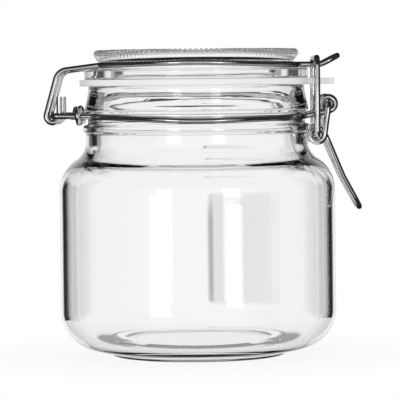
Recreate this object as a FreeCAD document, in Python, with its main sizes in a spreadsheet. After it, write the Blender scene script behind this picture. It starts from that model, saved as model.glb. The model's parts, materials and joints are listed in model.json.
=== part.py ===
import FreeCAD, Part
import math
import os
import Sketcher
from FreeCAD import Vector

# A glass storage jar whose lid is held shut by an over-centre wire clamp.
#
# The jar's axis is Z, the origin is the centre of the ring that it stands on, the clamp is on
# the +X side and the hinge of the lid on the -X side. Heights on the neck, the lid and the
# wires are measured from the rim, the flat face round the mouth that the seal lies on.

SIZES = [
    # the blown body: a square with bowed sides that turns round at the neck and the foot
    ("body_half_width", 57.9, "axis to the middle of a side"),
    ("side_bow", 0.30, "how much flatter than a circle a side is, as a share of the half width"),
    ("corner_bow", 0.38, "how much tighter than a circle a corner is, the same way"),
    ("jar_height", 112.8, "foot to rim"),
    ("glass_wall", 3.2, "wall of the body"),
    ("neck_wall", 4.5, "wall of the neck"),
    ("glass_floor", 6.0, "foot to the inner floor"),
    ("foot_radius", 37.0, "outer radius of the foot"),
    ("foot_height", 0.8, "height of the foot under the heel"),
    ("foot_squareness", 0.35, "0 is a round foot, 1 is as square as the body"),
    ("foot_ring", 6.0, "width of the ring that the jar stands on"),
    ("push_up", 2.2, "depth of the hollow under the floor"),
    ("push_up_slope", 4.4, "how far the side of that hollow leans in"),
    ("heel_slope", 15.0, "degrees between the heel and the table"),
    ("heel_round", 16.0, "round from heel to side"),
    ("shoulder_round", 16.0, "round from side to shoulder"),
    ("shoulder_steepest", 70.0, "most that the shoulder leans in, in degrees"),
    ("neck_round", 8.4, "round from shoulder to neck"),
    # the neck
    ("neck_radius", 46.5, "outer radius of the neck"),
    ("neck_length", 23.5, "rim to the foot of the neck"),
    ("collar_drop", 17.8, "rim to the middle of the collar under the neck wire"),
    ("collar_out", 1.2, "how far the collar stands out from the neck"),
    ("collar_half", 2.0, "half the height of the collar"),
    ("groove_in", 1.0, "how far the groove for the neck wire lies inside the neck"),
    ("groove_top_drop", 10.3, "rim to the top of that groove"),
    ("groove_slope", 1.0, "height of the slope over that groove"),
    ("lip_base_out", 0.6, "how far the neck over the groove stands out"),
    ("lip_in", 1.2, "how far the lip at the rim lies inside the neck"),
    ("lip_drop", 2.4, "height of the straight lip under the rim"),
    ("glass_edge", 0.9, "round on the edges of pressed glass"),
    # the seal
    ("seal_out", 2.4, "how far the rubber seal stands out from the neck"),
    ("seal_thick", 2.7, "thickness of the seal"),
    ("seal_edge", 0.5, "round on the edges of the seal"),
    ("tab_reach", 8.9, "how far the pull tab stands out past the seal"),
    ("tab_width", 13.0, "width of the pull tab"),
    # the lid
    ("plug_gap", 2.0, "gap in the mouth round the ring under the lid"),
    ("plug_wall", 4.0, "wall of that ring"),
    ("plug_depth", 1.5, "how far that ring reaches under the rim"),
    ("flange_out", 0.5, "how far the lid's flange stands out from the neck"),
    ("flange_thick", 4.2, "thickness of the flange at its edge"),
    ("lid_groove_in", 6.0, "flange to the floor of the groove for the lid wire"),
    ("lid_groove_height", 3.3, "height of that groove"),
    ("lid_bulge_out", 2.3, "how far the rim over the groove stands out from it"),
    ("lid_bulge_height", 2.5, "groove to the widest place of that rim"),
    ("lid_top_in", 1.1, "how far that rim draws in again to the top"),
    ("lid_height", 12.3, "underside of the flange to the top of the lid"),
    ("grip_width", 5.0, "width of the gripping rim"),
    ("lid_dish", 1.9, "how deep the top is dished inside the gripping rim"),
    ("lid_dish_slope", 1.0, "how far the side of that dish leans in"),
    ("lid_wall", 4.6, "glass over the hollow of the lid"),
    ("hollow_chamfer", 2.0, "chamfer round the top of that hollow"),
    # the wires
    ("wire_dia", 2.4, "diameter of the steel wire"),
    ("seat_gap", 0.15, "wire or seal to the glass that it lies on"),
    ("running_gap", 0.3, "between wires that move past each other"),
    ("eye_bore", 3.2, "inside of an eye or coil"),
    ("coil_gap", 0.15, "between the turns of a coil"),
    ("ring_bend", 3.0, "bend where a wire leaves its ring"),
    ("pin_bend", 2.2, "bend where a wire turns into a pin"),
    ("frame_bend", 4.0, "bend at the corners of a stirrup"),
    ("pin_end", 1.0, "how far a pin shows past its coil"),
    # the hinge, on the -X side
    ("hinge_reach", 10.5, "seal to the hinge bar"),
    ("hinge_drop", 12.1, "rim to the hinge bar"),
    ("hinge_half_width", 20.0, "axis to each arm of the neck wire at the hinge"),
    ("hook_side_gap", 1.5, "gap between a hook of the lid wire and the arm beside it"),
    ("hook_end", 7.8, "how far a hook's end stands over the hinge bar"),
    ("leg_lean", 15.5, "degrees that the lid wire's legs lean out"),
    ("leg_top", 6.5, "rim to the top of those legs"),
    ("leg_bend", 5.0, "bend at the top of those legs"),
    ("tie_reach", 1.5, "neck tie behind the collar, over its own half wire"),
    # the rings, which sag or rise at the front and back
    ("neck_ring_gap", 0.15, "gap under the neck wire at the front and back"),
    ("neck_ring_hinge_rise", 2.2, "how much higher it lies at the hinge"),
    ("neck_ring_clamp_rise", 1.3, "how much higher it lies at the clamp"),
    ("lid_ring_gap", 1.35, "gap under the lid wire at the front and back"),
    ("lid_ring_hinge_fall", 0.8, "how much lower it lies at the hinge"),
    ("lid_ring_clamp_fall", 1.2, "how much lower it lies at the clamp"),
    # the clamp, on the +X side
    ("pivot_reach", 7.0, "collar to the lever's pivot"),
    ("pivot_drop", 8.1, "rim to the lever's pivot"),
    ("eye_half_width", 15.5, "axis to each eye of the neck wire"),
    ("over_centre", 4.8, "how far the lever's coil lies inside its pivot"),
    ("lever_drop", 13.0, "lever's pivot to its coil"),
    ("tongue_half_width", 7.0, "axis to each side of the tongue"),
    ("tongue_flat", 2.2, "flat of the tongue outside the stirrup"),
    ("tongue_reach", 7.0, "length of the tongue's nose"),
    ("tongue_rise", 3.6, "how much the nose rises"),
    ("tongue_bend", 5.0, "bend at the end of the tongue"),
    ("handle_neck_x", 4.3, "lever's coil to the start of the handle, outwards"),
    ("handle_neck_z", 2.0, "the same, downwards"),
    ("handle_knee_x", 10.6, "lever's coil to the knee of the handle, outwards"),
    ("handle_knee_z", 17.0, "the same, downwards"),
    ("handle_end_x", 17.9, "lever's coil to the end of the handle, outwards"),
    ("handle_end_z", 30.3, "the same, downwards"),
    ("handle_half_width", 8.5, "axis to each side of the handle at its end"),
    ("handle_bend", 7.0, "bend at the end of the handle"),
    ("knee_bend", 25.0, "bend of the handle's knee"),
]

TURN_STEPS = 8          # corners that a full turn of a coil is bent from
RING_STEPS = 12         # corners that half a ring is bent from
EYE_TURNS = 1.125       # how far the neck wire and its tie wind round an eye
ROUND_AS_FITS = None    # a bend as large as its runs allow
SHORTEST_RUN = 0.05     # a straight run between two bends that is shorter is left out
SIDE_SHARES = (0.35, 0.65)   # where sections lie on the straight side, from foot to top
SQUARE_FADE = 0.8       # how fast the square fades towards the neck, as a power
LEAST_SHOULDER = 0.5    # a straight shoulder run that is shorter gets no section

doc = FreeCAD.newDocument("clamp_jar")
sheet = doc.addObject("Spreadsheet::Sheet", "Sizes")
for row, (alias, value, note) in enumerate(SIZES, start=1):
    sheet.set("A%d" % row, note)
    sheet.set("B%d" % row, str(value))
    sheet.setAlias("B%d" % row, alias)
doc.recompute()


def size(alias):
    """A driving dimension, read from the sheet."""
    return float(sheet.get(alias))


# ---------------------------------------------------------------- heights and reaches

RIM = size("jar_height")
NECK = size("neck_radius")
COLLAR = NECK + size("collar_out")
GROOVE = NECK - size("groove_in")
LIP_BASE = NECK + size("lip_base_out")
LIP = NECK - size("lip_in")
BORE = NECK - size("neck_wall")
SEAL = NECK + size("seal_out")
PLUG = BORE - size("plug_gap")
FLANGE = NECK + size("flange_out")
LID_GROOVE = FLANGE - size("lid_groove_in")
LID_BULGE = LID_GROOVE + size("lid_bulge_out")
LID_TOP = LID_BULGE - size("lid_top_in")

HALF_WIRE = size("wire_dia") / 2
COIL_ROUND = (size("eye_bore") + size("wire_dia")) / 2
COIL_PITCH = size("wire_dia") + size("coil_gap")
WIRE_PLANES = size("wire_dia") + size("running_gap")

HINGE_X = -(SEAL + size("hinge_reach"))
HINGE_Z = RIM - size("hinge_drop")
PIVOT_X = COLLAR + size("pivot_reach")
PIVOT_Z = RIM - size("pivot_drop")
COIL_X = PIVOT_X - size("over_centre")
COIL_Z = PIVOT_Z - size("lever_drop")
EYE_Y = size("eye_half_width")
LEVER_Y = EYE_Y + WIRE_PLANES
LINK_Y = LEVER_Y + WIRE_PLANES

HOOK = size("wire_dia") + size("running_gap")
HOOK_Y = size("hinge_half_width") - size("wire_dia") - size("hook_side_gap")
NECK_RING = GROOVE + size("seat_gap") + HALF_WIRE
NECK_RING_Z = RIM - size("collar_drop") + size("collar_half") + size("neck_ring_gap") + HALF_WIRE
LID_RING = LID_GROOVE + size("seat_gap") + HALF_WIRE
LID_RING_Z = RIM + size("seal_thick") + size("flange_thick") + size("lid_ring_gap") + HALF_WIRE
TONGUE_Z = LID_RING_Z - size("lid_ring_clamp_fall")
BAR_Z = TONGUE_Z + WIRE_PLANES


# ---------------------------------------------------------------- sketches and bodies


def origin_plane(body, role):
    return next(f for f in body.Origin.OriginFeatures if f.Role == role)


def new_sketch(body, name, role, height="0"):
    """A sketch on one of the body's own planes, lifted off it by an expression."""
    sketch = body.newObject("Sketcher::SketchObject", name)
    sketch.AttachmentSupport = (origin_plane(body, role), [""])
    sketch.MapMode = "FlatFace"
    sketch.setExpression("AttachmentOffset.Base.z", height)
    return sketch


def bound_outline(body, name, corners):
    """A closed outline in the XZ plane. Each corner is two expressions, its distance from the
    axis and its height, and is held by two constraints bound to them."""
    sketch = new_sketch(body, name, "XZ_Plane")
    places = [[float(sketch.evalExpression(e)) for e in corner] for corner in corners]
    count = len(corners)
    for i in range(count):
        start, end = places[i], places[(i + 1) % count]
        sketch.addGeometry(Part.LineSegment(Vector(*start, 0), Vector(*end, 0)), False)
    for i in range(count):
        sketch.addConstraint(Sketcher.Constraint("Coincident", i, 2, (i + 1) % count, 1))
    for i, corner in enumerate(corners):
        for kind, line, expression in (("DistanceX", -2, corner[0]), ("DistanceY", -1, corner[1])):
            if expression == "0":
                sketch.addConstraint(Sketcher.Constraint("PointOnObject", i, 1, line))
                continue
            place = places[i][0] if kind == "DistanceX" else places[i][1]
            held = sketch.addConstraint(Sketcher.Constraint(kind, -1, 1, i, 1, place))
            sketch.setExpression("Constraints[%d]" % held, expression)
    return sketch


def revolve(body, kind, name, sketch):
    """Turn an outline once about the jar's axis, to add glass or to take it away."""
    feature = body.newObject("PartDesign::" + kind, name)
    feature.Profile = sketch
    feature.ReferenceAxis = (sketch, ["V_Axis"])
    feature.Angle = 360
    doc.recompute()
    return feature


def round_edges(body, name, radius, places):
    """A fillet on the full circles at these (distance from the axis, height) places."""
    shape = body.Tip.Shape
    names = []
    for index, edge in enumerate(shape.Edges, start=1):
        if not isinstance(edge.Curve, Part.Circle) or not edge.Closed:
            continue
        at = (edge.Curve.Radius, edge.Curve.Center.z)
        if any(math.dist(at, place) < 0.01 for place in places):
            names.append("Edge%d" % index)
    base = body.Tip
    fillet = body.newObject("PartDesign::Fillet", name)
    fillet.Base = (base, names)
    fillet.setExpression("Radius", radius)
    doc.recompute()


# ---------------------------------------------------------------- the jar


def soft_square(sketch, half_width, squareness):
    """Eight arcs: four bowed sides and four rounder corners, all tangent. The joins lie at the
    same angles whatever the size and squareness, so that sections loft into each other."""
    side, corner = size("side_bow"), size("corner_bow")
    shift = (math.sqrt(2 * (side + corner) ** 2 - side ** 2) - side) / 2
    join = math.atan2(shift, shift + side)
    for quarter in range(4):
        turn = quarter * math.pi / 2
        out = Vector(math.cos(turn), math.sin(turn), 0)
        across = Vector(-math.sin(turn), math.cos(turn), 0)
        side_centre = out * (-side * squareness * half_width)
        corner_centre = (out + across) * (shift * squareness * half_width)
        for centre, radius, start, end in (
            (side_centre, half_width * (1 + side * squareness), -join, join),
            (corner_centre, half_width * (1 - corner * squareness), join, math.pi / 2 - join),
        ):
            circle = Part.Circle(centre, Vector(0, 0, 1), radius)
            sketch.addGeometry(Part.ArcOfCircle(circle, turn + start, turn + end), False)


def body_outline(inset):
    """Stations up the wall, as (half width, height, squareness), set in from the outside by
    inset: heel, round, side, round, shoulder, round, neck."""
    wide, neck, foot = size("body_half_width"), size("neck_radius"), size("foot_radius")
    heel, low = math.radians(size("heel_slope")), size("heel_round")
    high, top = size("shoulder_round"), size("neck_round")
    lean = math.acos(1 - min(1, (wide - neck) / (high + top)))
    lean = min(lean, math.radians(size("shoulder_steepest")))
    shoulder = (wide - neck - (high + top) * (1 - math.cos(lean))) / math.sin(lean)
    neck_z = RIM - size("neck_length")
    side_top = neck_z - (high + top) * math.sin(lean) - shoulder * math.cos(lean)
    tangent = low * math.tan((math.pi / 2 - heel) / 2)
    side_foot = size("foot_height") + (wide - foot) * math.tan(heel) + tangent

    stations = []
    heel_end = Vector(wide - low + low * math.sin(heel), side_foot - low * math.cos(heel), 0)
    heel_start = Vector(foot, size("foot_height"), 0)
    inwards = Vector(-math.sin(heel), math.cos(heel), 0) * inset
    for share in (0, 0.5):
        at = heel_start + (heel_end - heel_start) * share + inwards
        stations.append((at.x, at.y))
    for step in range(5):
        angle = (step / 4 - 1) * (math.pi / 2 - heel)
        reach = low - inset
        stations.append((wide - low + reach * math.cos(angle), side_foot + reach * math.sin(angle)))
    for share in SIDE_SHARES:
        stations.append((wide - inset, side_foot + (side_top - side_foot) * share))
    for step in range(5):
        angle = step / 4 * lean
        reach = high - inset
        stations.append((wide - high + reach * math.cos(angle), side_top + reach * math.sin(angle)))
    for step in range(1 if shoulder < LEAST_SHOULDER else 0, 5):
        angle = (1 - step / 4) * lean
        reach = top + inset
        stations.append((neck + top - reach * math.cos(angle), neck_z - reach * math.sin(angle)))

    def squareness(half_width, height):
        if height < side_foot:
            share = (half_width - foot + inset) / (wide - foot)
            least = size("foot_squareness")
            return least + (1 - least) * min(1, max(0, share))
        share = (half_width - neck + inset) / (wide - neck)
        return min(1, max(0, share)) ** SQUARE_FADE

    return [(r, z, squareness(r, z)) for r, z in stations]


def loft(body, kind, name, stations):
    sections = []
    for index, (half_width, height, squareness) in enumerate(stations):
        sketch = new_sketch(body, "%s_%02d" % (name, index), "XY_Plane", "%.6f" % height)
        soft_square(sketch, half_width, squareness)
        sections.append(sketch)
    doc.recompute()
    feature = body.newObject("PartDesign::" + kind, name)
    feature.Profile = sections[0]
    feature.Sections = sections[1:]
    feature.Ruled = False
    doc.recompute()
    return feature


def make_jar():
    body = doc.addObject("PartDesign::Body", "jar_glass")
    outside = body_outline(0)
    foot = (size("foot_radius"), 0.0, size("foot_squareness"))
    loft(body, "AdditiveLoft", "outside", [foot] + outside)

    rim, neck = "Sizes.jar_height", "Sizes.neck_radius"
    collar, groove_top = rim + " - Sizes.collar_drop", rim + " - Sizes.groove_top_drop"
    outline = bound_outline(body, "neck_outline", [
        ("0", rim + " - Sizes.neck_length"),
        (neck, rim + " - Sizes.neck_length"),
        (neck, collar + " - Sizes.collar_half"),
        (neck + " + Sizes.collar_out", collar + " - Sizes.collar_half / 2"),
        (neck + " + Sizes.collar_out", collar + " + Sizes.collar_half / 2"),
        (neck + " - Sizes.groove_in", collar + " + Sizes.collar_half"),
        (neck + " - Sizes.groove_in", groove_top + " - Sizes.groove_slope"),
        (neck + " + Sizes.lip_base_out", groove_top),
        (neck + " - Sizes.lip_in", rim + " - Sizes.lip_drop"),
        (neck + " - Sizes.lip_in", rim),
        ("0", rim),
    ])
    revolve(body, "Revolution", "neck", outline)

    body_wall, neck_wall = body_outline(size("glass_wall")), body_outline(size("neck_wall"))
    inside = []
    for thin, thick in zip(body_wall, neck_wall):
        share = 1 - thin[2] if thin[1] > RIM / 2 else 0
        inside.append(tuple(a + (b - a) * share for a, b in zip(thin, thick)))
    floor = size("glass_floor")
    above = next(i for i, station in enumerate(inside) if station[1] > floor)
    low, high = inside[above - 1], inside[above]
    share = (floor - low[1]) / (high[1] - low[1])
    inside[:above] = [tuple(a + (b - a) * share for a, b in zip(low, high))]
    loft(body, "SubtractiveLoft", "inside", inside)

    bore = "(Sizes.neck_radius - Sizes.neck_wall)"
    mouth = bound_outline(body, "mouth_outline", [
        ("0", rim + " - Sizes.neck_length"), (bore, rim + " - Sizes.neck_length"),
        (bore, rim), ("0", rim),
    ])
    revolve(body, "Groove", "mouth", mouth)

    recess = "(Sizes.foot_radius - Sizes.foot_ring)"
    hollow = bound_outline(body, "push_up_outline", [
        ("0", "0"), (recess, "0"), (recess + " - Sizes.push_up_slope", "Sizes.push_up"),
        ("0", "Sizes.push_up"),
    ])
    revolve(body, "Groove", "push_up", hollow)

    half = size("collar_half") / 2
    collar_z = RIM - size("collar_drop")
    round_edges(body, "rounded_glass", "Sizes.glass_edge", [
        (COLLAR, collar_z - half), (COLLAR, collar_z + half),
        (LIP_BASE, RIM - size("groove_top_drop")), (LIP, RIM), (BORE, RIM),
    ])
    return body


# ---------------------------------------------------------------- the seal and the lid


def make_gasket():
    body = doc.addObject("PartDesign::Body", "gasket")
    neck, rim = "Sizes.neck_radius", "Sizes.jar_height"
    bore = neck + " - Sizes.neck_wall - Sizes.plug_gap + Sizes.seat_gap"
    outer, top = neck + " + Sizes.seal_out", rim + " + Sizes.seal_thick"
    outline = bound_outline(body, "seal_outline", [
        (bore, rim), (outer, rim), (outer, top), (bore, top),
    ])
    revolve(body, "Revolution", "seal_ring", outline)
    round_edges(body, "rounded_seal", "Sizes.seal_edge", [
        (SEAL, RIM), (SEAL, RIM + size("seal_thick")),
    ])

    sketch = new_sketch(body, "tab_outline", "XY_Plane", rim)
    half, reach = size("tab_width") / 2, SEAL + size("tab_reach")
    root = LIP
    corner = half / 2
    points = [
        Vector(root, -half, 0), Vector(reach - corner, -half, 0),
        Vector(reach, -half + corner, 0), Vector(reach, half - corner, 0),
        Vector(reach - corner, half, 0), Vector(root, half, 0),
    ]
    mid = corner * math.sqrt(0.5)
    sketch.addGeometry(Part.LineSegment(points[0], points[1]), False)
    low_mid = Vector(reach - corner + mid, -half + corner - mid, 0)
    sketch.addGeometry(Part.Arc(points[1], low_mid, points[2]), False)
    sketch.addGeometry(Part.LineSegment(points[2], points[3]), False)
    high_mid = Vector(reach - corner + mid, half - corner + mid, 0)
    sketch.addGeometry(Part.Arc(points[3], high_mid, points[4]), False)
    sketch.addGeometry(Part.LineSegment(points[4], points[5]), False)
    sketch.addGeometry(Part.LineSegment(points[5], points[0]), False)
    tab = body.newObject("PartDesign::Pad", "pull_tab")
    tab.Profile = sketch
    tab.setExpression("Length", "Sizes.seal_thick")
    doc.recompute()
    return body


def make_lid():
    body = doc.addObject("PartDesign::Body", "lid_glass")
    base = "Sizes.jar_height + Sizes.seal_thick"
    flange = base + " + Sizes.flange_thick"
    groove = flange + " + Sizes.lid_groove_height"
    top = base + " + Sizes.lid_height"
    plug = "Sizes.neck_radius - Sizes.neck_wall - Sizes.plug_gap"
    plug_inside = plug + " - Sizes.plug_wall"
    plug_foot = "Sizes.jar_height - Sizes.plug_depth"
    edge = "Sizes.neck_radius + Sizes.flange_out"
    wire_seat = edge + " - Sizes.lid_groove_in"
    bulge = wire_seat + " + Sizes.lid_bulge_out"
    brim = bulge + " - Sizes.lid_top_in"
    grip = brim + " - Sizes.grip_width"
    hollow = top + " - Sizes.lid_dish - Sizes.lid_wall"
    outline = bound_outline(body, "lid_outline", [
        ("0", hollow),
        (plug_inside + " - Sizes.hollow_chamfer", hollow),
        (plug_inside, hollow + " - Sizes.hollow_chamfer"),
        (plug_inside, plug_foot),
        (plug, plug_foot),
        (plug, base),
        (edge, base),
        (edge, flange),
        (wire_seat, flange),
        (wire_seat, groove),
        (bulge, groove + " + Sizes.lid_bulge_height"),
        (brim, top),
        (grip, top),
        (grip + " - Sizes.lid_dish_slope", top + " - Sizes.lid_dish"),
        ("0", top + " - Sizes.lid_dish"),
    ])
    revolve(body, "Revolution", "lid_turned", outline)
    base_z = RIM + size("seal_thick")
    groove_z = base_z + size("flange_thick") + size("lid_groove_height")
    round_edges(body, "rounded_lid", "Sizes.glass_edge", [
        (FLANGE, base_z), (FLANGE, base_z + size("flange_thick")),
        (LID_BULGE, groove_z + size("lid_bulge_height")),
        (PLUG, RIM - size("plug_depth")), (PLUG - size("plug_wall"), RIM - size("plug_depth")),
        (LID_TOP, base_z + size("lid_height")),
        (LID_TOP - size("grip_width"), base_z + size("lid_height")),
    ])
    return body


# ---------------------------------------------------------------- bent wire


def bend_room(route, index, step, cuts):
    """How much of the run on one side of a corner its bend may use."""
    here, there = route[index][0], route[index + step][0]
    run = here.distanceToPoint(there)
    if index + step in (0, len(route) - 1):
        return run
    if index + step in cuts:
        return run - cuts[index + step]
    return run / 2


def wire_path(route):
    """Straight runs joined by tangent arcs. route is a list of (corner, bend radius)."""
    turns, cuts = {}, {}
    for i in range(1, len(route) - 1):
        before = (route[i][0] - route[i - 1][0]).normalize()
        after = (route[i + 1][0] - route[i][0]).normalize()
        turns[i] = (before, after, math.tan(before.getAngle(after) / 2))
        if route[i][1] is not ROUND_AS_FITS:
            cuts[i] = route[i][1] * turns[i][2]
    fitted = dict(cuts)
    for i in turns:
        if i not in cuts:
            fitted[i] = min(bend_room(route, i, -1, cuts), bend_room(route, i, 1, cuts))

    edges, last = [], route[0][0]
    for i, (before, after, tangent) in turns.items():
        corner, cut = route[i][0], fitted[i]
        start, end = corner - before * cut, corner + after * cut
        inwards = (after - before).normalize()
        radius = cut / tangent
        crown = corner + inwards * (radius * math.sqrt(1 + tangent ** 2) - radius)
        if last.distanceToPoint(start) > SHORTEST_RUN:
            edges.append(Part.LineSegment(last, start).toShape())
        else:
            start = last
        edges.append(Part.Arc(start, crown, end).toShape())
        last = end
    if last.distanceToPoint(route[-1][0]) > SHORTEST_RUN:
        edges.append(Part.LineSegment(last, route[-1][0]).toShape())
    return Part.Wire(edges)


def bent_wire(name, route):
    """A sub-part of round wire along a route of corners and bends. Each straight run is a
    cylinder and each bend a piece of a torus."""
    path = wire_path(route)
    first = path.Edges[0]
    start = first.valueAt(first.FirstParameter)
    ring = Part.Circle(start, first.tangentAt(first.FirstParameter), HALF_WIRE).toShape()
    faces = [Part.Face(Part.Wire([ring]))]
    for edge in path.Edges:
        if edge.Curve.TypeId == "Part::GeomLine":
            run = edge.valueAt(edge.LastParameter) - edge.valueAt(edge.FirstParameter)
            faces.append(ring.extrude(run))
            ring = ring.translated(run)
        else:
            centre, axis = edge.Curve.Center, edge.Curve.Axis
            angle = math.degrees(edge.LastParameter - edge.FirstParameter)
            faces.append(ring.revolve(centre, axis, angle))
            ring = ring.rotated(centre, axis, angle)
    faces.append(Part.Face(Part.Wire([ring])))
    shell = Part.makeShell(faces)
    shell.sewShape()
    shape = Part.makeSolid(shell)
    if shape.Volume < 0:
        shape.reverse()
    expected = math.pi * HALF_WIRE ** 2 * path.Length
    print("%-11s length %.1f mm, volume %.4f of section x length"
          % (name, path.Length, shape.Volume / expected))
    wire = doc.addObject("Part::Feature", name)
    wire.Shape = shape
    wire.Placement = FreeCAD.Placement()
    return wire


def mirrored(half):
    """The whole route from one half that ends at the plane y = 0, without its end point."""
    other = [(Vector(p.x, -p.y, p.z), bend) for p, bend in reversed(half)]
    return half + other


def half_ring(radius, clamp_y, hinge_y, middle_z, clamp_dz, hinge_dz):
    """Corners of a ring's front half, from the hinge side to the clamp side. The first and
    last corners are where the wire leaves the ring. It lies higher or lower at its ends."""
    start = -math.pi + math.asin(hinge_y / radius)
    end = -math.asin(clamp_y / radius)
    step = (end - start) / RING_STEPS

    def height(x):
        return middle_z + (clamp_dz if x > 0 else hinge_dz) * abs(x) / radius

    def at(angle, reach, bend):
        x, y = reach * math.cos(angle), reach * math.sin(angle)
        return (Vector(x, y, height(x)), bend)

    corners = [at(start, radius, size("ring_bend"))]
    for i in range(RING_STEPS):
        middle = start + (i + 0.5) * step
        corners.append(at(middle, radius / math.cos(step / 2), ROUND_AS_FITS))
    corners.append(at(end, radius, size("ring_bend")))
    return corners


def coil(centre, right, up, drift, start, turns):
    """Corners of a coil about centre. right and up span its plane, and it winds from right
    towards up. It begins at the angle start and moves by drift, a vector, in each turn."""
    steps = max(1, round(turns * TURN_STEPS))
    step = 2 * math.pi / TURN_STEPS
    reach = COIL_ROUND / math.cos(step / 2)
    corners = []
    for i in range(steps):
        angle = start + (i + 0.5) * step
        at = centre + right * (reach * math.cos(angle)) + up * (reach * math.sin(angle))
        corners.append((at + drift * ((i + 0.5) / TURN_STEPS), ROUND_AS_FITS))
    return corners


# ---------------------------------------------------------------- the wires

X, Z = Vector(1, 0, 0), Vector(0, 0, 1)
INWARDS = Vector(0, 1, 0)       # from the front half of a wire towards y = 0


def make_neck_wire():
    """One wire: an eye for the lever, an arm, half the ring, an arm to the hinge bar, and the
    same again at the back."""
    pivot = Vector(PIVOT_X, -EYE_Y, PIVOT_Z)
    eye = coil(pivot, X, Z, INWARDS * COIL_PITCH, -math.pi / 2, EYE_TURNS)
    end = eye[-1][0] - (eye[-1][0] - eye[-2][0]) * 0.5
    ring = half_ring(NECK_RING, EYE_Y, size("hinge_half_width"), NECK_RING_Z,
                     size("neck_ring_clamp_rise"), size("neck_ring_hinge_rise"))
    bar_end = (Vector(HINGE_X, -size("hinge_half_width"), HINGE_Z), size("pin_bend"))
    half = [(end, 0)] + list(reversed(eye[:-1])) + list(reversed(ring)) + [bar_end]
    return bent_wire("neck_wire", mirrored(half))


def make_neck_tie():
    """A short wire behind the neck that holds the two hinge arms with an eye round each."""
    x = -(COLLAR + size("tie_reach") - HALF_WIRE + size("running_gap"))
    arm = Vector(x, -size("hinge_half_width"), HINGE_Z)
    eye = coil(arm, INWARDS * -1, Z, X * -COIL_PITCH, -math.pi / 2, EYE_TURNS)
    end = eye[-1][0] - (eye[-1][0] - eye[-2][0]) * 0.5
    half = [(end, 0)] + list(reversed(eye[:-1]))
    return bent_wire("neck_tie", mirrored(half))


def make_lid_wire():
    """One wire: a hook on the hinge bar, a leg, half the ring, one side of the tongue, and the
    same again at the back."""
    y, hook = -HOOK_Y, HOOK
    lean = math.radians(size("leg_lean"))
    foot_x = HINGE_X - hook * (1 + math.sin(lean)) / math.cos(lean)
    foot_z = HINGE_Z - hook
    leg_z = RIM + size("leg_top")
    leg_x = foot_x + (leg_z - foot_z) * math.tan(lean)
    ring = half_ring(LID_RING, size("tongue_half_width"), HOOK_Y, LID_RING_Z,
                     -size("lid_ring_clamp_fall"), -size("lid_ring_hinge_fall"))
    side = -size("tongue_half_width")
    nose_x = COIL_X + size("tongue_flat")
    half = [
        (Vector(HINGE_X + hook, y, HINGE_Z + size("hook_end")), 0),
        (Vector(HINGE_X + hook, y, foot_z), hook),
        (Vector(foot_x, y, foot_z), hook),
        (Vector(leg_x, y, leg_z), size("leg_bend")),
    ] + ring + [
        (Vector(nose_x, side, TONGUE_Z), size("tongue_bend")),
        (Vector(nose_x + size("tongue_reach"), side, TONGUE_Z + size("tongue_rise")),
         size("tongue_bend")),
    ]
    return bent_wire("lid_wire", mirrored(half))


def make_link_wire():
    """The stirrup: a bar over the tongue, two legs, and a pin through each coil."""
    pin = LEVER_Y - COIL_PITCH - HALF_WIRE - size("pin_end")
    half = [
        (Vector(COIL_X, -pin, COIL_Z), 0),
        (Vector(COIL_X, -LINK_Y, COIL_Z), size("pin_bend")),
        (Vector(COIL_X, -LINK_Y, BAR_Z), size("frame_bend")),
    ]
    return bent_wire("link_wire", mirrored(half))


def make_lever_wire():
    """The lever: a pin in each eye, an arm, a coil for the stirrup, and the handle."""
    pin = EYE_Y - COIL_PITCH - HALF_WIRE - size("pin_end")
    coil_centre = Vector(COIL_X, -LEVER_Y, COIL_Z)
    turns = coil(coil_centre, X, Z * -1, INWARDS * COIL_PITCH, 0, 1)
    inner = -(LEVER_Y - COIL_PITCH)

    def handle(out, down, y, bend):
        return (Vector(COIL_X + size(out), y, COIL_Z - size(down)), bend)

    half = [
        (Vector(PIVOT_X, -pin, PIVOT_Z), 0),
        (Vector(PIVOT_X, -LEVER_Y, PIVOT_Z), size("pin_bend")),
    ] + turns + [
        handle("handle_neck_x", "handle_neck_z", inner, ROUND_AS_FITS),
        handle("handle_knee_x", "handle_knee_z", (inner - size("handle_half_width")) / 2,
               size("knee_bend")),
        handle("handle_end_x", "handle_end_z", -size("handle_half_width"), size("handle_bend")),
    ]
    return bent_wire("lever_wire", mirrored(half))


# ---------------------------------------------------------------- build, check and write

PARTS = [
    make_jar(), make_lid(), make_gasket(), make_neck_wire(), make_neck_tie(),
    make_lid_wire(), make_lever_wire(), make_link_wire(),
]
doc.recompute()

for item in doc.Objects:
    if "Invalid" in item.State or "Error" in item.State:
        raise RuntimeError("%s did not recompute: %s" % (item.Name, item.State))
for part in PARTS:
    if part.Shape.isNull() or not part.Shape.isValid():
        raise RuntimeError("%s has no valid shape" % part.Label)
    if len(part.Shape.Solids) != 1:
        raise RuntimeError("%s is %d solids" % (part.Label, len(part.Shape.Solids)))

os.makedirs("parts", exist_ok=True)
for part in PARTS:
    part.Shape.exportStep("parts/%s.step" % part.Label)
    box = part.Shape.BoundBox
    print("%-11s %8.0f mm3  x %.1f..%.1f  y %.1f..%.1f  z %.1f..%.1f" % (
        part.Label, part.Shape.Volume, box.XMin, box.XMax, box.YMin, box.YMax, box.ZMin, box.ZMax))
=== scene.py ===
# %% [markdown]
# # Glass storage jar with a wire clamp
# An empty jar of clear glass. A pressed glass lid lies on a rubber seal, and five bent steel
# wires hold it: a hinge at the back and a clamp with a handle at the front.
#
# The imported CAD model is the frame, and its parts could be shown as they are. Their flat
# triangles show in clear glass, though, so the two glass pieces are made again here with even,
# smooth faces, and the wires and the seal are dressed as copies with soft shading.

import json
import math

import bmesh
import bpy
import numpy as np
from mathutils import Matrix, Vector

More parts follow.
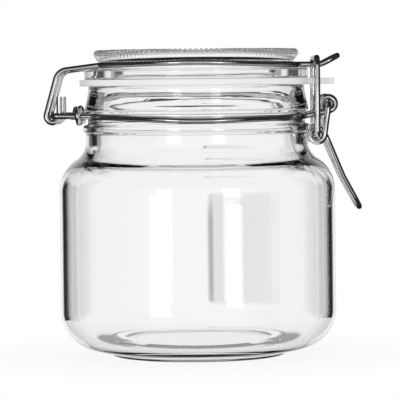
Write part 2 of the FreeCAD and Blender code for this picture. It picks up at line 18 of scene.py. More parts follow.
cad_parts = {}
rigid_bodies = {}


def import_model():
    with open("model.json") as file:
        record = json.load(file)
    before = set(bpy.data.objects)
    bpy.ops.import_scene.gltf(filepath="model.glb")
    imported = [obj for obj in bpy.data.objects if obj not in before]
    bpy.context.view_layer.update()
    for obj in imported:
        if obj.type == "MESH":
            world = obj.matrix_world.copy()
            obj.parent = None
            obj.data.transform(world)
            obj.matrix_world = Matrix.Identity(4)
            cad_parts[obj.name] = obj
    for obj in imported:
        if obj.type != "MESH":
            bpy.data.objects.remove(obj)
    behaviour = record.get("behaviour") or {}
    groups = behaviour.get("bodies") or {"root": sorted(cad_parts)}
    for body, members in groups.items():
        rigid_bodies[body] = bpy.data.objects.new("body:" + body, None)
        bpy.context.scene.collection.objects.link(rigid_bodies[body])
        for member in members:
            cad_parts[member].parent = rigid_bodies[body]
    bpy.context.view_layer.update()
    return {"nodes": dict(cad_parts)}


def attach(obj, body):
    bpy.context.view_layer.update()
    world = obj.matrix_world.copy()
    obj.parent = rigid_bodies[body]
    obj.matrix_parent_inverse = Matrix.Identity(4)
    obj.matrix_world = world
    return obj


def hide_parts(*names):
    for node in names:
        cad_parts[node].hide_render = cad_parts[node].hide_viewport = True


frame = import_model()
nodes = frame["nodes"]
print("nodes:", sorted(nodes))

# %% [markdown]
# ## Sizes
# A jar's body is given by a few sizes: the wall, half the width across the flats, and the rounds
# of heel, shoulder and neck. They could be read off the CAD meshes. Written out, they can be
# changed and understood. All are in millimetres. Heights start at the ring that the jar stands
# on, and those of the neck and lid are taken from the rim. They match the CAD model's.

# %% Sizes
MM = 0.001

RIM = 112.8
BODY_WALL, NECK_WALL = 3.2, 4.5
FLOOR = 6.0
BODY_HALF = 57.9
SIDE_BOW, CORNER_BOW = 0.30, 0.38
FOOT_RADIUS, FOOT_HEIGHT, FOOT_SQUARENESS = 37.0, 0.8, 0.35
FOOT_RING, PUSH_UP = 6.0, 2.2
HEEL_SLOPE, HEEL_ROUND = 15.0, 16.0
SHOULDER_ROUND, SHOULDER_STEEPEST, NECK_ROUND = 16.0, 70.0, 8.4
NECK_RADIUS, NECK_LENGTH = 46.5, 23.5
SEAL_THICK = 2.7

JAR_COLUMNS = 24        # in each of the eight arcs round the body
LID_RIBS = 120
COLUMNS_PER_RIB = 6
RIB_DEPTH = 0.6

print("jar:", 2 * BODY_HALF, "mm wide and", RIM, "mm to the rim")


# %% [markdown]
# ## Profiles
# A jar's collar and a lid's rim have small rounds everywhere, because molten glass fills no
# sharp corner. A bevel modifier could round them after the shape is made. Here the profile, the
# outline of a cut through the wall, is rounded first, so each corner has its own radius.

# %% Round a profile's corners
def rounded(corners, steps=5):
    """A profile with its corners rounded. A corner is (radius from the axis, height, round)."""
    points = []
    for i, (x, z, bend) in enumerate(corners):
        here = Vector((x, z))
        if i in (0, len(corners) - 1) or bend == 0:
            points.append((x, z))
            continue
        back = (Vector(corners[i - 1][:2]) - here)
        on = (Vector(corners[i + 1][:2]) - here)
        angle = back.angle(on)
        cut = bend / math.tan(angle / 2)
        cut = min(cut, back.length * 0.48, on.length * 0.48)
        reach = cut * math.tan(angle / 2)
        start, end = here + back.normalized() * cut, here + on.normalized() * cut
        middle = here + (back.normalized() + on.normalized()).normalized() * math.hypot(cut, reach)
        a = math.atan2(*(start - middle).yx)
        b = math.atan2(*(end - middle).yx)
        turn = (b - a + math.pi) % (2 * math.pi) - math.pi
        for k in range(steps + 1):
            at = a + turn * k / steps
            points.append((middle.x + reach * math.cos(at), middle.y + reach * math.sin(at)))
    return points


# %% Cut long runs into steps
def with_steps(points, longest):
    """The same profile with its long runs cut into shorter ones."""
    cut = [points[0]]
    for (x0, z0), (x1, z1) in zip(points, points[1:]):
        count = max(1, math.ceil(math.hypot(x1 - x0, z1 - z0) / longest))
        for k in range(1, count + 1):
            cut.append((x0 + (x1 - x0) * k / count, z0 + (z1 - z0) * k / count))
    return cut


# %% [markdown]
# ## Rings
# Seen from above, the body is a square with bowed sides and soft corners, and the neck is a
# circle. The piece could be a lattice or a subdivided box. Here it is a closed stack of rings of
# equal count, because every ring is then exact. A ring has a half width, a height and a
# squareness, where 0 is a circle and 1 is as square as the body.

# %% One ring
def soft_square(half, squareness):
    """Points of eight tangent arcs: four bowed sides and four tighter corners."""
    shift = (math.sqrt(2 * (SIDE_BOW + CORNER_BOW) ** 2 - SIDE_BOW ** 2) - SIDE_BOW) / 2
    join = math.atan2(shift, shift + SIDE_BOW)
    points = []
    for quarter in range(4):
        turn = quarter * math.pi / 2
        out = np.array([math.cos(turn), math.sin(turn)])
        across = np.array([-math.sin(turn), math.cos(turn)])
        arcs = (
            (-SIDE_BOW * squareness * half * out, half * (1 + SIDE_BOW * squareness), -join, join),
            ((out + across) * shift * squareness * half, half * (1 - CORNER_BOW * squareness),
             join, math.pi / 2 - join),
        )
        for centre, radius, start, end in arcs:
            for k in range(JAR_COLUMNS):
                angle = turn + start + (end - start) * k / JAR_COLUMNS
                points.append(centre + radius * np.array([math.cos(angle), math.sin(angle)]))
    return points


# %% Rings into a closed mesh
def stack(name, rings):
    """A closed mesh from rings of equal count, listed from the axis outwards and back to it.
    The first and last rings are drawn together into a point on the axis."""
    count = len(rings[0])
    verts = [tuple(v * MM for v in point) for ring in rings for point in ring]
    faces = []
    for i in range(len(rings) - 1):
        for k in range(count):
            n = (k + 1) % count
            a, b = i * count, (i + 1) * count
            faces.append((a + k, a + n, b + n, b + k))
    low, high = len(verts), len(verts) + 1
    for ring in (rings[0], rings[-1]):
        verts.append((0.0, 0.0, ring[0][2] * MM))
    last = (len(rings) - 1) * count
    for k in range(count):
        n = (k + 1) % count
        faces.append((low, n, k))
        faces.append((high, last + k, last + n))
    mesh = bpy.data.meshes.new(name)
    mesh.from_pydata(verts, [], faces)
    work = bmesh.new()
    work.from_mesh(mesh)
    bmesh.ops.recalc_face_normals(work, faces=work.faces)
    work.to_mesh(mesh)
    work.free()
    mesh.shade_smooth()
    piece = bpy.data.objects.new(name, mesh)
    bpy.context.scene.collection.objects.link(piece)
    print(f"{name}: {len(mesh.polygons)} faces")
    return piece


# %% [markdown]
# ## The jar
# The body is blown in a mould and its neck is pressed, so the neck's wall is thicker. A Solidify
# modifier could give one outline its wall. Here the inside is an outline of its own, set back by
# the wall, because the wall changes at the shoulder and clear glass shows it. Both run up the
# heel, the side and the shoulder to the neck, and each ring gets rounder as it gets narrower.

# %% Outline of the body
def body_outline(inset, arc_steps=14):
    heel = math.radians(HEEL_SLOPE)
    lean = math.acos(1 - min(1, (BODY_HALF - NECK_RADIUS) / (SHOULDER_ROUND + NECK_ROUND)))
    lean = min(lean, math.radians(SHOULDER_STEEPEST))
    shoulder = BODY_HALF - NECK_RADIUS - (SHOULDER_ROUND + NECK_ROUND) * (1 - math.cos(lean))
    shoulder /= math.sin(lean)
    neck_z = RIM - NECK_LENGTH
    side_top = neck_z - (SHOULDER_ROUND + NECK_ROUND) * math.sin(lean) - shoulder * math.cos(lean)
    tangent = HEEL_ROUND * math.tan((math.pi / 2 - heel) / 2)
    side_foot = FOOT_HEIGHT + (BODY_HALF - FOOT_RADIUS) * math.tan(heel) + tangent

    points = []
    end = (BODY_HALF - HEEL_ROUND + HEEL_ROUND * math.sin(heel),
           side_foot - HEEL_ROUND * math.cos(heel))
    for k in range(8):
        x = FOOT_RADIUS + (end[0] - FOOT_RADIUS) * k / 8
        z = FOOT_HEIGHT + (end[1] - FOOT_HEIGHT) * k / 8
        points.append((x - math.sin(heel) * inset, z + math.cos(heel) * inset))
    for k in range(arc_steps + 1):
        angle = (k / arc_steps - 1) * (math.pi / 2 - heel)
        reach = HEEL_ROUND - inset
        points.append((BODY_HALF - HEEL_ROUND + reach * math.cos(angle),
                       side_foot + reach * math.sin(angle)))
    for k in range(1, 12):
        points.append((BODY_HALF - inset, side_foot + (side_top - side_foot) * k / 12))
    for k in range(arc_steps + 1):
        angle = k / arc_steps * lean
        reach = SHOULDER_ROUND - inset
        points.append((BODY_HALF - SHOULDER_ROUND + reach * math.cos(angle),
                       side_top + reach * math.sin(angle)))
    for k in range(1, arc_steps + 1):
        angle = (1 - k / arc_steps) * lean
        reach = NECK_ROUND + inset
        points.append((NECK_RADIUS + NECK_ROUND - reach * math.cos(angle),
                       neck_z - reach * math.sin(angle)))

    def squareness(half, z):
        if z < side_foot:
            share = (half - FOOT_RADIUS + inset) / (BODY_HALF - FOOT_RADIUS)
            return FOOT_SQUARENESS + (1 - FOOT_SQUARENESS) * min(1, max(0, share))
        share = (half - NECK_RADIUS + inset) / (BODY_HALF - NECK_RADIUS)
        return min(1, max(0, share)) ** 0.8

    return [(x, z, squareness(x, z)) for x, z in points]


outside = body_outline(0)
print("outline of the body:", len(outside), "rings, up to", round(outside[-1][1], 1), "mm")

# %% Neck and foot
collar = RIM - 17.8
neck = rounded([
    (NECK_RADIUS, RIM - NECK_LENGTH, 0), (NECK_RADIUS, collar - 2.0, 0.6),
    (47.7, collar - 1.0, 0.9), (47.7, collar + 1.0, 0.9), (45.5, collar + 2.0, 0.4),
    (45.5, RIM - 11.3, 0.4), (47.1, RIM - 10.3, 0.9), (45.3, RIM - 2.4, 1.5),
    (45.3, RIM, 0.9), (42.0, RIM, 0.9), (42.0, RIM - NECK_LENGTH, 0),
])
recess = FOOT_RADIUS - FOOT_RING
under = rounded([(2.0, PUSH_UP, 0), (recess - 2 * PUSH_UP, PUSH_UP, 2.0), (recess, 0.0, 1.0),
                 (recess + 0.6, 0.0, 0)])
print("neck profile:", len(neck), "points; foot profile:", len(under), "points")

# %% Inside of the wall
inside = []
for thin, thick in zip(body_outline(BODY_WALL), body_outline(NECK_WALL)):
    share = 1 - thin[2] if thin[1] > RIM / 2 else 0
    at = tuple(a + (b - a) * share for a, b in zip(thin, thick))
    if at[1] > FLOOR + 0.3:
        inside.append(at)
print("inside of the wall:", len(inside), "rings")


# %% Jar
def from_profile(points, squareness=0.0):
    """Stations of the stack, (half width, height, squareness), from a plain profile."""
    return [(x, z, squareness) for x, z in points]


stations = from_profile(with_steps(under, 2.0))
stations += [(FOOT_RADIUS - 1.2, 0.0, FOOT_SQUARENESS),
             (FOOT_RADIUS - 0.35, 0.25, FOOT_SQUARENESS),
             (FOOT_RADIUS, FOOT_HEIGHT, FOOT_SQUARENESS)]
stations += outside
stations += from_profile(with_steps(neck, 1.5)[1:-1])
stations += list(reversed(inside))
first = inside[0]
stations += [(first[0] - 1.0, FLOOR + 0.08, first[2]), (first[0] - 3.0, FLOOR, first[2])]
stations += [(first[0] * share, FLOOR, first[2] * share) for share in (0.75, 0.5, 0.25, 0.05)]

jar = stack("jar_skin", [[(x, y, z) for x, y in soft_square(half, squareness)]
                         for half, z, squareness in stations])

# %% [markdown]
# ## The lid
# A pressed disc: a ring that sits in the mouth, a flange on the seal, a groove for the wire and
# a gripping rim. A Screw modifier could spin its profile. It is stacked from rings like the jar,
# so that the number of columns is a whole number for each rib.

# %% Lid
LID_BASE = RIM + SEAL_THICK
LID_TOP = LID_BASE + 12.3
hollow = LID_TOP - 1.9 - 4.6
lid_profile = rounded([
    (2.0, hollow, 0), (34.0, hollow, 1.0), (36.0, hollow - 2.0, 1.0), (36.0, RIM - 1.5, 0.9),
    (40.0, RIM - 1.5, 0.9), (40.0, LID_BASE, 0.3), (47.0, LID_BASE, 0.9),
    (47.0, LID_BASE + 4.2, 0.9), (41.0, LID_BASE + 4.2, 0.5), (41.0, LID_BASE + 7.5, 0.5),
    (43.3, LID_BASE + 10.0, 0.9), (42.2, LID_TOP, 0.9), (37.2, LID_TOP, 0.9),
    (36.2, LID_TOP - 1.9, 0.6), (2.0, LID_TOP - 1.9, 0),
], steps=4)
columns = LID_RIBS * COLUMNS_PER_RIB
round_about = [(math.cos(2 * math.pi * k / columns), math.sin(2 * math.pi * k / columns))
               for k in range(columns)]
lid = stack("lid_skin", [[(r * c, r * s, z) for c, s in round_about]
                         for r, z in with_steps(lid_profile, 6.0)])


# %% [markdown]
# ## Ribs on the lid
# Fine ribs round the rim give wet fingers a grip. They could be one rib copied round, joined
# with a boolean. A Geometry Nodes tree that moves the rim's own points by a wave is lighter and
# leaves no seams, and its inputs set how many ribs there are and how deep they are.

# %% Tree for the ribs
def rib_tree():
    """Sinks the grooves between the ribs: points in a band by height and radius move down and
    inwards by a wave that turns with the angle round the axis."""
    tree = bpy.data.node_groups.new("Ribbed rim", "GeometryNodeTree")
    face = tree.interface
    face.new_socket("Geometry", in_out="INPUT", socket_type="NodeSocketGeometry")
    for name, kind in (("Ribs", "NodeSocketInt"), ("Depth", "NodeSocketFloat"),
                       ("Lowest", "NodeSocketFloat"), ("Innermost", "NodeSocketFloat"),
                       ("Glass", "NodeSocketMaterial")):
        face.new_socket(name, in_out="INPUT", socket_type=kind)
    face.new_socket("Geometry", in_out="OUTPUT", socket_type="NodeSocketGeometry")
    add, link = tree.nodes.new, tree.links.new

    def maths(operation, a, b=None):
        node = add("ShaderNodeMath")
        node.operation = operation
        for slot_index, value in enumerate((a, b)):
            if value is None:
                continue
            if isinstance(value, (int, float)):
                node.inputs[slot_index].default_value = value
            else:
                link(value, node.inputs[slot_index])
        return node.outputs[0]

    given = add("NodeGroupInput").outputs
    place = add("GeometryNodeInputPosition").outputs[0]
    parts = add("ShaderNodeSeparateXYZ")
    link(place, parts.inputs[0])
    x, y, z = parts.outputs
    radius = maths("SQRT", maths("ADD", maths("MULTIPLY", x, x), maths("MULTIPLY", y, y)))
    angle = maths("ARCTAN2", y, x)
    wave = maths("COSINE", maths("MULTIPLY", angle, given["Ribs"]))
    sunk = maths("MULTIPLY", maths("SUBTRACT", wave, 1.0), maths("MULTIPLY", given["Depth"], 0.5))
    inwards = maths("DIVIDE", sunk, radius)
    shift = add("ShaderNodeCombineXYZ")
    link(maths("MULTIPLY", x, inwards), shift.inputs[0])
    link(maths("MULTIPLY", y, inwards), shift.inputs[1])
    link(sunk, shift.inputs[2])
    in_band = maths("MULTIPLY", maths("GREATER_THAN", z, given["Lowest"]),
                    maths("GREATER_THAN", radius, given["Innermost"]))
    move = add("GeometryNodeSetPosition")
    link(given["Geometry"], move.inputs["Geometry"])
    link(in_band, move.inputs["Selection"])
    link(shift.outputs[0], move.inputs["Offset"])
    real = add("GeometryNodeRealizeInstances")
    link(move.outputs[0], real.inputs[0])
    paint = add("GeometryNodeSetMaterial")
    link(real.outputs[0], paint.inputs["Geometry"])
    link(given["Glass"], paint.inputs["Material"])
    link(paint.outputs[0], add("NodeGroupOutput").inputs[0])
    return tree


# %% Run a tree on a piece
def apply_tree(piece, tree, values):
    """Runs the tree on the piece and keeps the result as a plain mesh."""
    modifier = piece.modifiers.new(tree.name, "NODES")
    modifier.node_group = tree
    for socket in tree.interface.items_tree:
        if socket.item_type == "SOCKET" and socket.in_out == "INPUT" and socket.name in values:
            modifier[socket.identifier] = values[socket.name]
    evaluated = piece.evaluated_get(bpy.context.evaluated_depsgraph_get())
    result = bpy.data.meshes.new_from_object(evaluated)
    piece.modifiers.remove(modifier)
    piece.data = result
    return piece


# %% [markdown]
# ## Shader groups
# No real surface is quite even: blown glass swims a little, pressed glass has faint upright
# waves and drawn wire has draw lines, and steel and rubber carry a film of handling marks. The
# noise could be built again in each material. As two groups with named inputs it is built once,
# and each material gives its own scale and depth.

# %% A new group
def new_group(name, inputs, outputs):
    group = bpy.data.node_groups.new(name, "ShaderNodeTree")
    for label, kind, value in inputs:
        socket = group.interface.new_socket(label, in_out="INPUT", socket_type=kind)
        if value is not None:
            socket.default_value = value
    for label, kind in outputs:
        group.interface.new_socket(label, in_out="OUTPUT", socket_type=kind)
    return group, group.nodes.new("NodeGroupInput"), group.nodes.new("NodeGroupOutput")


# %% Uneven surface
def uneven_group():
    group, given, out = new_group(
        "Uneven surface",
        [("Coordinates", "NodeSocketVector", None), ("Stretch", "NodeSocketVector", (1, 1, 1)),
         ("Scale", "NodeSocketFloat", 40.0), ("Depth", "NodeSocketFloat", 0.0001)],
        [("Normal", "NodeSocketVector")])
    stretch = group.nodes.new("ShaderNodeVectorMath")
    stretch.operation = "MULTIPLY"
    noise = group.nodes.new("ShaderNodeTexNoise")
    noise.inputs["Detail"].default_value = 1.0
    bump = group.nodes.new("ShaderNodeBump")
    bump.inputs["Strength"].default_value = 1.0
    group.links.new(given.outputs["Coordinates"], stretch.inputs[0])
    group.links.new(given.outputs["Stretch"], stretch.inputs[1])
    group.links.new(stretch.outputs[0], noise.inputs["Vector"])
    group.links.new(given.outputs["Scale"], noise.inputs["Scale"])
    group.links.new(noise.outputs["Fac"], bump.inputs["Height"])
    group.links.new(given.outputs["Depth"], bump.inputs["Distance"])
    group.links.new(bump.outputs["Normal"], out.inputs["Normal"])
    return group


# %% Handling marks
def marks_group():
    group, given, out = new_group(
        "Handling marks",
        [("Coordinates", "NodeSocketVector", None), ("Scale", "NodeSocketFloat", 200.0),
         ("Clean", "NodeSocketFloat", 0.1), ("Marked", "NodeSocketFloat", 0.2)],
        [("Roughness", "NodeSocketFloat"), ("Mask", "NodeSocketFloat")])
    noise = group.nodes.new("ShaderNodeTexNoise")
    noise.inputs["Detail"].default_value = 4.0
    spread = group.nodes.new("ShaderNodeMapRange")
    spread.inputs["From Min"].default_value = 0.35
    spread.inputs["From Max"].default_value = 0.7
    group.links.new(given.outputs["Coordinates"], noise.inputs["Vector"])
    group.links.new(given.outputs["Scale"], noise.inputs["Scale"])
    group.links.new(noise.outputs["Fac"], spread.inputs["Value"])
    group.links.new(given.outputs["Clean"], spread.inputs["To Min"])
    group.links.new(given.outputs["Marked"], spread.inputs["To Max"])
    group.links.new(spread.outputs["Result"], out.inputs["Roughness"])
    group.links.new(noise.outputs["Fac"], out.inputs["Mask"])
    return group


UNEVEN = uneven_group()
MARKS = marks_group()
print("groups:", UNEVEN.name, "and", MARKS.name)


# %% [markdown]
# ## Materials
# Clear glass lets light through and bends it, and mirrors a little at its faces. The seal is
# milky clear rubber, and the wires are polished steel. Glass could mix a refraction and a gloss
# shader, but Principled does that from its IOR and can be exported. Glass keeps a plain metallic
# and a plain transmission. The patterns read Object coordinates, so they ride with the piece.

# %% A material
def material(name, colour, metallic, transmission, ior, roughness, uneven, marks):
    """Principled, with a plain metallic and transmission. uneven is (stretch, scale, depth) and
    marks is (scale, roughness where clean, where marked), or None for a plain roughness."""
    made = bpy.data.materials.new(name)
    made.use_nodes = True
    tree = made.node_tree
    shader = tree.nodes["Principled BSDF"]
    shader.inputs["Base Color"].default_value = (*colour, 1)
    shader.inputs["Metallic"].default_value = metallic
    shader.inputs["Transmission Weight"].default_value = transmission
    shader.inputs["IOR"].default_value = ior
    shader.inputs["Roughness"].default_value = roughness
    coordinates = tree.nodes.new("ShaderNodeTexCoord").outputs["Object"]
    if uneven:
        group = tree.nodes.new("ShaderNodeGroup")
        group.node_tree = UNEVEN
        for label, value in zip(("Stretch", "Scale", "Depth"), uneven):
            group.inputs[label].default_value = value
        tree.links.new(coordinates, group.inputs["Coordinates"])
        tree.links.new(group.outputs["Normal"], shader.inputs["Normal"])
    if marks:
        group = tree.nodes.new("ShaderNodeGroup")
        group.node_tree = MARKS
        for label, value in zip(("Scale", "Clean", "Marked"), marks):
            group.inputs[label].default_value = value
        tree.links.new(coordinates, group.inputs["Coordinates"])
        tree.links.new(group.outputs["Roughness"], shader.inputs["Roughness"])
    print("material:", name)
    return made


# %% Glass, rubber and steel
glass = material("blown glass", (0.995, 0.997, 0.997), 0.0, 1.0, 1.5, 0.0,
                 uneven=((1, 1, 0.4), 24.0, 0.00006), marks=None)
pressed = material("pressed glass", (0.985, 0.99, 0.99), 0.0, 1.0, 1.5, 0.0,
                   uneven=((1, 1, 14), 30.0, 0.00003), marks=None)
rubber = material("clear rubber", (0.965, 0.965, 0.96), 0.0, 0.12, 1.42, 0.3,
                  uneven=((1, 1, 1), 60.0, 0.00001), marks=(90.0, 0.3, 0.42))
steel = material("polished steel", (0.62, 0.62, 0.63), 1.0, 0.0, 1.5, 0.1,
                 uneven=((1, 1, 1), 120.0, 0.000004), marks=(150.0, 0.04, 0.1))
# Painted shade: the steel's edge tint is near black, so each wire's outline comes out dark where
# it mirrors at a flat angle.
STEEL_PAINTED_DARK_RIM = (0.05, 0.05, 0.05, 1)       # near the outline, where it mirrors at a flat angle
steel_shader = steel.node_tree.nodes["Principled BSDF"].inputs
steel_shader["Specular Tint"].default_value = STEEL_PAINTED_DARK_RIM

# %% Press the ribs
apply_tree(lid, rib_tree(), {
    "Ribs": LID_RIBS, "Depth": RIB_DEPTH * MM, "Lowest": (LID_TOP - 0.95) * MM,
    "Innermost": 36.8 * MM, "Glass": pressed,
})
print("ribs pressed into the lid:", LID_RIBS)


# %% [markdown]
# ## Wires and seal
# Each wire is bent from one length, with a real eye or coil where another wire turns in it. The
# wires could be curves with a round bevel. The CAD shapes already have every bend, so each is
# copied with its triangles joined and shaded smooth, and the shape stays exact.

# %% Smooth copies
def smooth_copy(node, name, sharpest=40):
    """A copy of a CAD node with its triangles joined, smooth but for edges sharper than this."""
    mesh = nodes[node].data.copy()
    mesh.name = name
    work = bmesh.new()
    work.from_mesh(mesh)
    bmesh.ops.remove_doubles(work, verts=work.verts, dist=0.000002)
    bmesh.ops.recalc_face_normals(work, faces=work.faces)
    for edge in work.edges:
        if len(edge.link_faces) == 2:
            edge.smooth = edge.calc_face_angle(0) < math.radians(sharpest)
    for face in work.faces:
        face.smooth = True
    work.to_mesh(mesh)
    work.free()
    if "custom_normal" in mesh.attributes:
        mesh.attributes.remove(mesh.attributes["custom_normal"])
    copy = bpy.data.objects.new(name, mesh)
    bpy.context.scene.collection.objects.link(copy)
    print(f"{name}: {len(mesh.polygons)} faces")
    return copy


# %% [markdown]
# ## Putting the pieces on the bodies
# When the clamp is thrown or the lid lifts, each piece goes with its own part of the jar. Empties
# and parents could do that. The jar has two kinds of glass in one mesh, so its faces above the
# shoulder take the second material.

# %% Copies and their bodies
pieces = [(jar, "jar_glass", "jar", glass, "clear_glass"),
          (lid, "lid_glass", "lid", pressed, "clear_glass"),
          (smooth_copy("gasket", "seal_skin"), "gasket", "lid", rubber, "seal_rubber")]
for node, body in (("neck_wire", "jar"), ("neck_tie", "jar"), ("lid_wire", "lid"),
                   ("lever_wire", "lever"), ("link_wire", "link")):
    pieces.append((smooth_copy(node, node + "_skin"), node, body, steel, "steel_wire"))

print("pieces:", [row[0].name for row in pieces])

# %% Ride, replace and take the material
for piece, node, body, look, slot in pieces:
    piece.data.materials.clear()
    piece.data.materials.append(look)
    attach(piece, body)
    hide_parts(node)
    nodes[node].data.materials.clear()
    nodes[node].data.materials.append(look)

# %% Pressed glass from the neck up
PRESSED_FROM = RIM - NECK_LENGTH
jar.data.materials.append(pressed)
heights = np.empty(len(jar.data.polygons) * 3)
jar.data.polygons.foreach_get("center", heights)
in_neck = (heights[2::3] > PRESSED_FROM * MM).astype(int)
jar.data.polygons.foreach_set("material_index", in_neck)
print("faces of pressed glass:", int(in_neck.sum()), "of", len(in_neck))

# %% [markdown]
# ## Floor
# The jar stands on white ground, with only a faint shadow. A large bright plane under strong
# lamps could do it, but it would also light the jar. Here the ground glows at exactly white for
# the camera, and a share of plain paint near the jar keeps the shadow. It isn't mirrored, so
# that it doesn't wash out the underside of the wires.

# %% Floor
FLOOR_RADIUS = 0.12
SEEN_THROUGH_GLASS = 0.94


def floor_material():
    """White to the eye. A share of plain white paint, which fades out towards the edge, keeps
    the jar's shadow."""
    made = bpy.data.materials.new("white ground")
    made.use_nodes = True
    tree = made.node_tree
    tree.nodes.clear()
    add, link = tree.nodes.new, tree.links.new
    glow = add("ShaderNodeEmission")
    glow.inputs["Color"].default_value = (1, 1, 1, 1)
    strength = add("ShaderNodeMapRange")
    strength.inputs["To Min"].default_value = SEEN_THROUGH_GLASS
    strength.inputs["To Max"].default_value = 1.0
    paint = add("ShaderNodeBsdfDiffuse")
    paint.inputs["Color"].default_value = (0.8, 0.8, 0.8, 1)
    distance = add("ShaderNodeVectorMath")
    distance.operation = "LENGTH"
    link(add("ShaderNodeTexCoord").outputs["Object"], distance.inputs[0])
    fade = add("ShaderNodeMapRange")
    fade.interpolation_type = "SMOOTHSTEP"
    fade.inputs["From Min"].default_value = 0.5 * FLOOR_RADIUS
    fade.inputs["From Max"].default_value = 0.98 * FLOOR_RADIUS
    fade.inputs["To Min"].default_value = 0.9
    fade.inputs["To Max"].default_value = 1.0
    link(distance.outputs["Value"], fade.inputs["Value"])
    seen = add("ShaderNodeLightPath").outputs
    link(seen["Is Camera Ray"], strength.inputs["Value"])
    link(strength.outputs["Result"], glow.inputs["Strength"])
    either = add("ShaderNodeMath")
    either.operation = "MAXIMUM"
    link(seen["Is Camera Ray"], either.inputs[0])
    link(seen["Is Transmission Ray"], either.inputs[1])
    share = add("ShaderNodeMath")
    share.operation = "MULTIPLY"
    link(either.outputs[0], share.inputs[0])
    link(fade.outputs["Result"], share.inputs[1])
    mix = add("ShaderNodeMixShader")
    link(share.outputs[0], mix.inputs["Fac"])
    link(paint.outputs[0], mix.inputs[1])
    link(glow.outputs[0], mix.inputs[2])
    link(mix.outputs[0], add("ShaderNodeOutputMaterial").inputs["Surface"])
    return made


bpy.ops.mesh.primitive_circle_add(vertices=96, radius=FLOOR_RADIUS, fill_type="NGON",
                                  location=(0, 0, -0.0002))
floor = bpy.context.object
floor.name = "ground"
floor.data.materials.append(floor_material())
floor.visible_glossy = False
print("floor radius:", FLOOR_RADIUS)

# %% [markdown]
# ## World
# Clear glass and polished wire have hardly a colour of their own. What is seen in them is the
# room, so dark cards left and right of a bright background draw the edges. Real cards could be
# planes round the jar. In the world they cost nothing, and the camera still sees plain white.
#
# The angle round the jar runs from 0, towards the camera, to 180 behind the jar, and is negative
# on the left. Glass looks out at the first list through itself, and faces and wires mirror the
# second: a bright front for the middle of a wire, and dark sides for its edges.

# %% Brightness round the jar
PLAIN_LEVEL = 0.95
SEEN_THROUGH = [         # (degrees, brightness), as glass shows it through itself
    (-180, 0.94), (-161, 0.94), (-160, 0.02), (-136, 0.02), (-128, 0.9), (128, 0.9),
    (136, 0.02), (160, 0.02), (161, 0.94), (180, 0.94),
]
MIRRORED = [             # the same, as steel and the faces of the glass mirror it
    (-180, 0.95), (-157, 0.95), (-154, 0.03), (-138, 0.03), (-128, 0.06), (-50, 0.03),
    (-28, 1.0), (-8, 0.8), (8, 0.8), (28, 1.0), (50, 0.03), (128, 0.06), (138, 0.03),
    (154, 0.03), (157, 0.95), (180, 0.95),
]
# A card behind the jar: no shade before the first angle, full shade from the second to the
# third, none after the fourth; then its middle and half height, and how dark it is.
GREY_CARD = (174.6, 179.3, 179.55, 179.7, -3.7, 2.1, 0.21)
DARK_EDGE = (179.44, 179.56, 179.62, 179.76, -3.8, 1.5, 0.5)
print("bands:", len(SEEN_THROUGH), "seen through and", len(MIRRORED), "mirrored")


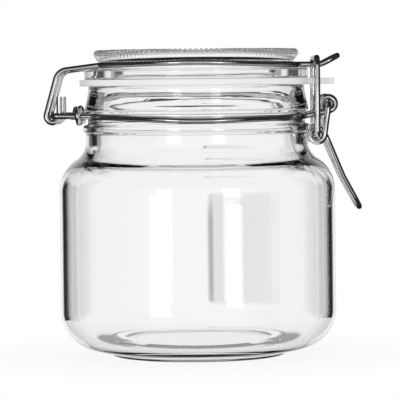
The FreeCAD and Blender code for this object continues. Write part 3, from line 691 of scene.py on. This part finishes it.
# %% World
def set_world():
    world = bpy.data.worlds.new("studio")
    bpy.context.scene.world = world
    world.use_nodes = True
    tree = world.node_tree
    tree.nodes.clear()
    add, link = tree.nodes.new, tree.links.new

    def maths(operation, a, b=None, clamp=False):
        node = add("ShaderNodeMath")
        node.operation = operation
        node.use_clamp = clamp
        for slot_index, value in enumerate((a, b)):
            if value is None:
                continue
            if isinstance(value, (int, float)):
                node.inputs[slot_index].default_value = value
            else:
                link(value, node.inputs[slot_index])
        return node.outputs[0]

    def fade(value, start, end, before, after):
        node = add("ShaderNodeMapRange")
        node.interpolation_type = "SMOOTHSTEP"
        for label, number in zip(("From Min", "From Max", "To Min", "To Max"),
                                 (start, end, before, after)):
            node.inputs[label].default_value = number
        link(value, node.inputs["Value"])
        return node.outputs["Result"]

    parts = add("ShaderNodeSeparateXYZ")
    link(add("ShaderNodeTexCoord").outputs["Generated"], parts.inputs[0])
    x, y, z = parts.outputs
    turn = maths("ARCTAN2", x, maths("MULTIPLY", y, -1.0))
    turn = maths("MULTIPLY", turn, 180 / math.pi)
    up = maths("MULTIPLY", maths("ARCSINE", z), 180 / math.pi)

    def bands(levels):
        ramp = add("ShaderNodeValToRGB")
        ramp.color_ramp.interpolation = "LINEAR"
        elements = ramp.color_ramp.elements
        while len(elements) > 1:
            elements.remove(elements[0])
        for i, (degrees, level) in enumerate(levels):
            at = (degrees + 180) / 360
            element = elements[0] if i == 0 else elements.new(at)
            element.position = at
            element.color = (level, level, level, 1)
        link(maths("ADD", maths("MULTIPLY", turn, 1 / 360), 0.5), ramp.inputs["Fac"])
        return ramp.outputs["Color"]

    def blend(share, a, b):
        node = add("ShaderNodeMix")
        node.data_type = "FLOAT"
        link(share, node.inputs["Factor"])
        for label, value in (("A", a), ("B", b)):
            if isinstance(value, (int, float)):
                node.inputs[label].default_value = value
            else:
                link(value, node.inputs[label])
        return node.outputs["Result"]

    def shade(level, card):
        """The level with a soft dark card in front of it."""
        none, full, full_to, none_from, up_at, half_height, dark = card
        across = maths("MULTIPLY", fade(turn, none, full, 0.0, 1.0),
                       fade(turn, full_to, none_from, 1.0, 0.0))
        along = fade(maths("ABSOLUTE", maths("SUBTRACT", up, up_at)),
                     half_height * 0.45, half_height, 1.0, 0.0)
        cover = maths("MULTIPLY", maths("MULTIPLY", across, along), dark)
        return maths("MULTIPLY", level, maths("SUBTRACT", 1.0, cover))

    through = shade(shade(bands(SEEN_THROUGH), GREY_CARD), DARK_EDGE)
    through = blend(fade(up, 6, 14, 0.0, 1.0), through, 0.93)
    through = blend(fade(up, -22, -12, 0.45, 0.0), through, 0.93)
    mirrored = blend(fade(up, 12, 32, 0.0, 1.0), bands(MIRRORED), 0.03)
    mirrored = blend(fade(up, -35, -15, 1.0, 0.0), mirrored, 0.03)

    path = add("ShaderNodeLightPath").outputs
    level = blend(path["Is Glossy Ray"], PLAIN_LEVEL, mirrored)
    level = blend(path["Is Transmission Ray"], level, through)
    seen = blend(path["Is Camera Ray"], level, 1.0)
    glow = add("ShaderNodeBackground")
    glow.inputs["Color"].default_value = (1, 1, 1, 1)
    link(seen, glow.inputs["Strength"])
    link(glow.outputs[0], add("ShaderNodeOutputWorld").inputs["Surface"])


set_world()
print("world:", bpy.context.scene.world.name)

# %% [markdown]
# ## Lamps
# Tall soft boxes stand in front of the jar to the left and right, and show as long white bars in
# the glass. Bars could be painted on, but they would not bend with the body. Area lamps of the
# same shape are mirrored truly, and weak ones are enough. The right one has two panes.

# %% Lamps
def strip(name, degrees, away, width, low, high, watts):
    """An upright area lamp at an angle from the camera's side, turned towards the jar."""
    lamp = bpy.data.lights.new(name, "AREA")
    lamp.shape = "RECTANGLE"
    lamp.size, lamp.size_y = width, high - low
    lamp.energy = watts
    holder = bpy.data.objects.new(name, lamp)
    bpy.context.scene.collection.objects.link(holder)
    angle = math.radians(degrees)
    holder.location = (away * math.sin(angle), -away * math.cos(angle), (low + high) / 2)
    holder.rotation_euler = (math.pi / 2, 0, angle)
    print(f"{name}: {width:.2f} x {high - low:.2f} m, {watts} W")
    return holder


STRIPS_AWAY = 0.9
strip("strip left", -23.8, STRIPS_AWAY, 0.19, -0.08, 0.12, 0.3)
strip("strip right low", 23.4, STRIPS_AWAY, 0.165, -0.05, 0.027, 0.1)
strip("strip right high", 23.4, STRIPS_AWAY, 0.165, 0.06, 0.12, 0.08)

# %% [markdown]
# ## Camera
# A small product is shown from a little way off, so that it keeps its proportions. A short lens
# close up would swell the shoulder. The camera is level with the seal and leans by half a
# degree, and the lens is worked out from the width that it has to take in.

# %% Camera
CAMERA_AWAY = 1.10
CAMERA_HEIGHT = 0.1147
SEEN_WIDTH = 0.168
AIM = Vector((0.0011, 0.0, 0.0646))
ROLL = 0.6

lens = bpy.data.cameras.new("camera")
lens.sensor_width = 36.0
lens.lens = lens.sensor_width * CAMERA_AWAY / SEEN_WIDTH
lens.clip_start, lens.clip_end = 0.01, 20.0
camera = bpy.data.objects.new("camera", lens)
bpy.context.scene.collection.objects.link(camera)
camera.location = (AIM.x, -CAMERA_AWAY, CAMERA_HEIGHT)
look = (AIM - camera.location).to_track_quat("-Z", "Y").to_matrix()
turn = look @ Vector((0, 0, 1))
camera.rotation_euler = (Matrix.Rotation(math.radians(-ROLL), 3, turn) @ look).to_euler()
bpy.context.scene.camera = camera
bpy.context.scene.view_settings.view_transform = "Standard"
print("camera:", tuple(camera.location), "lens", round(lens.lens, 1))
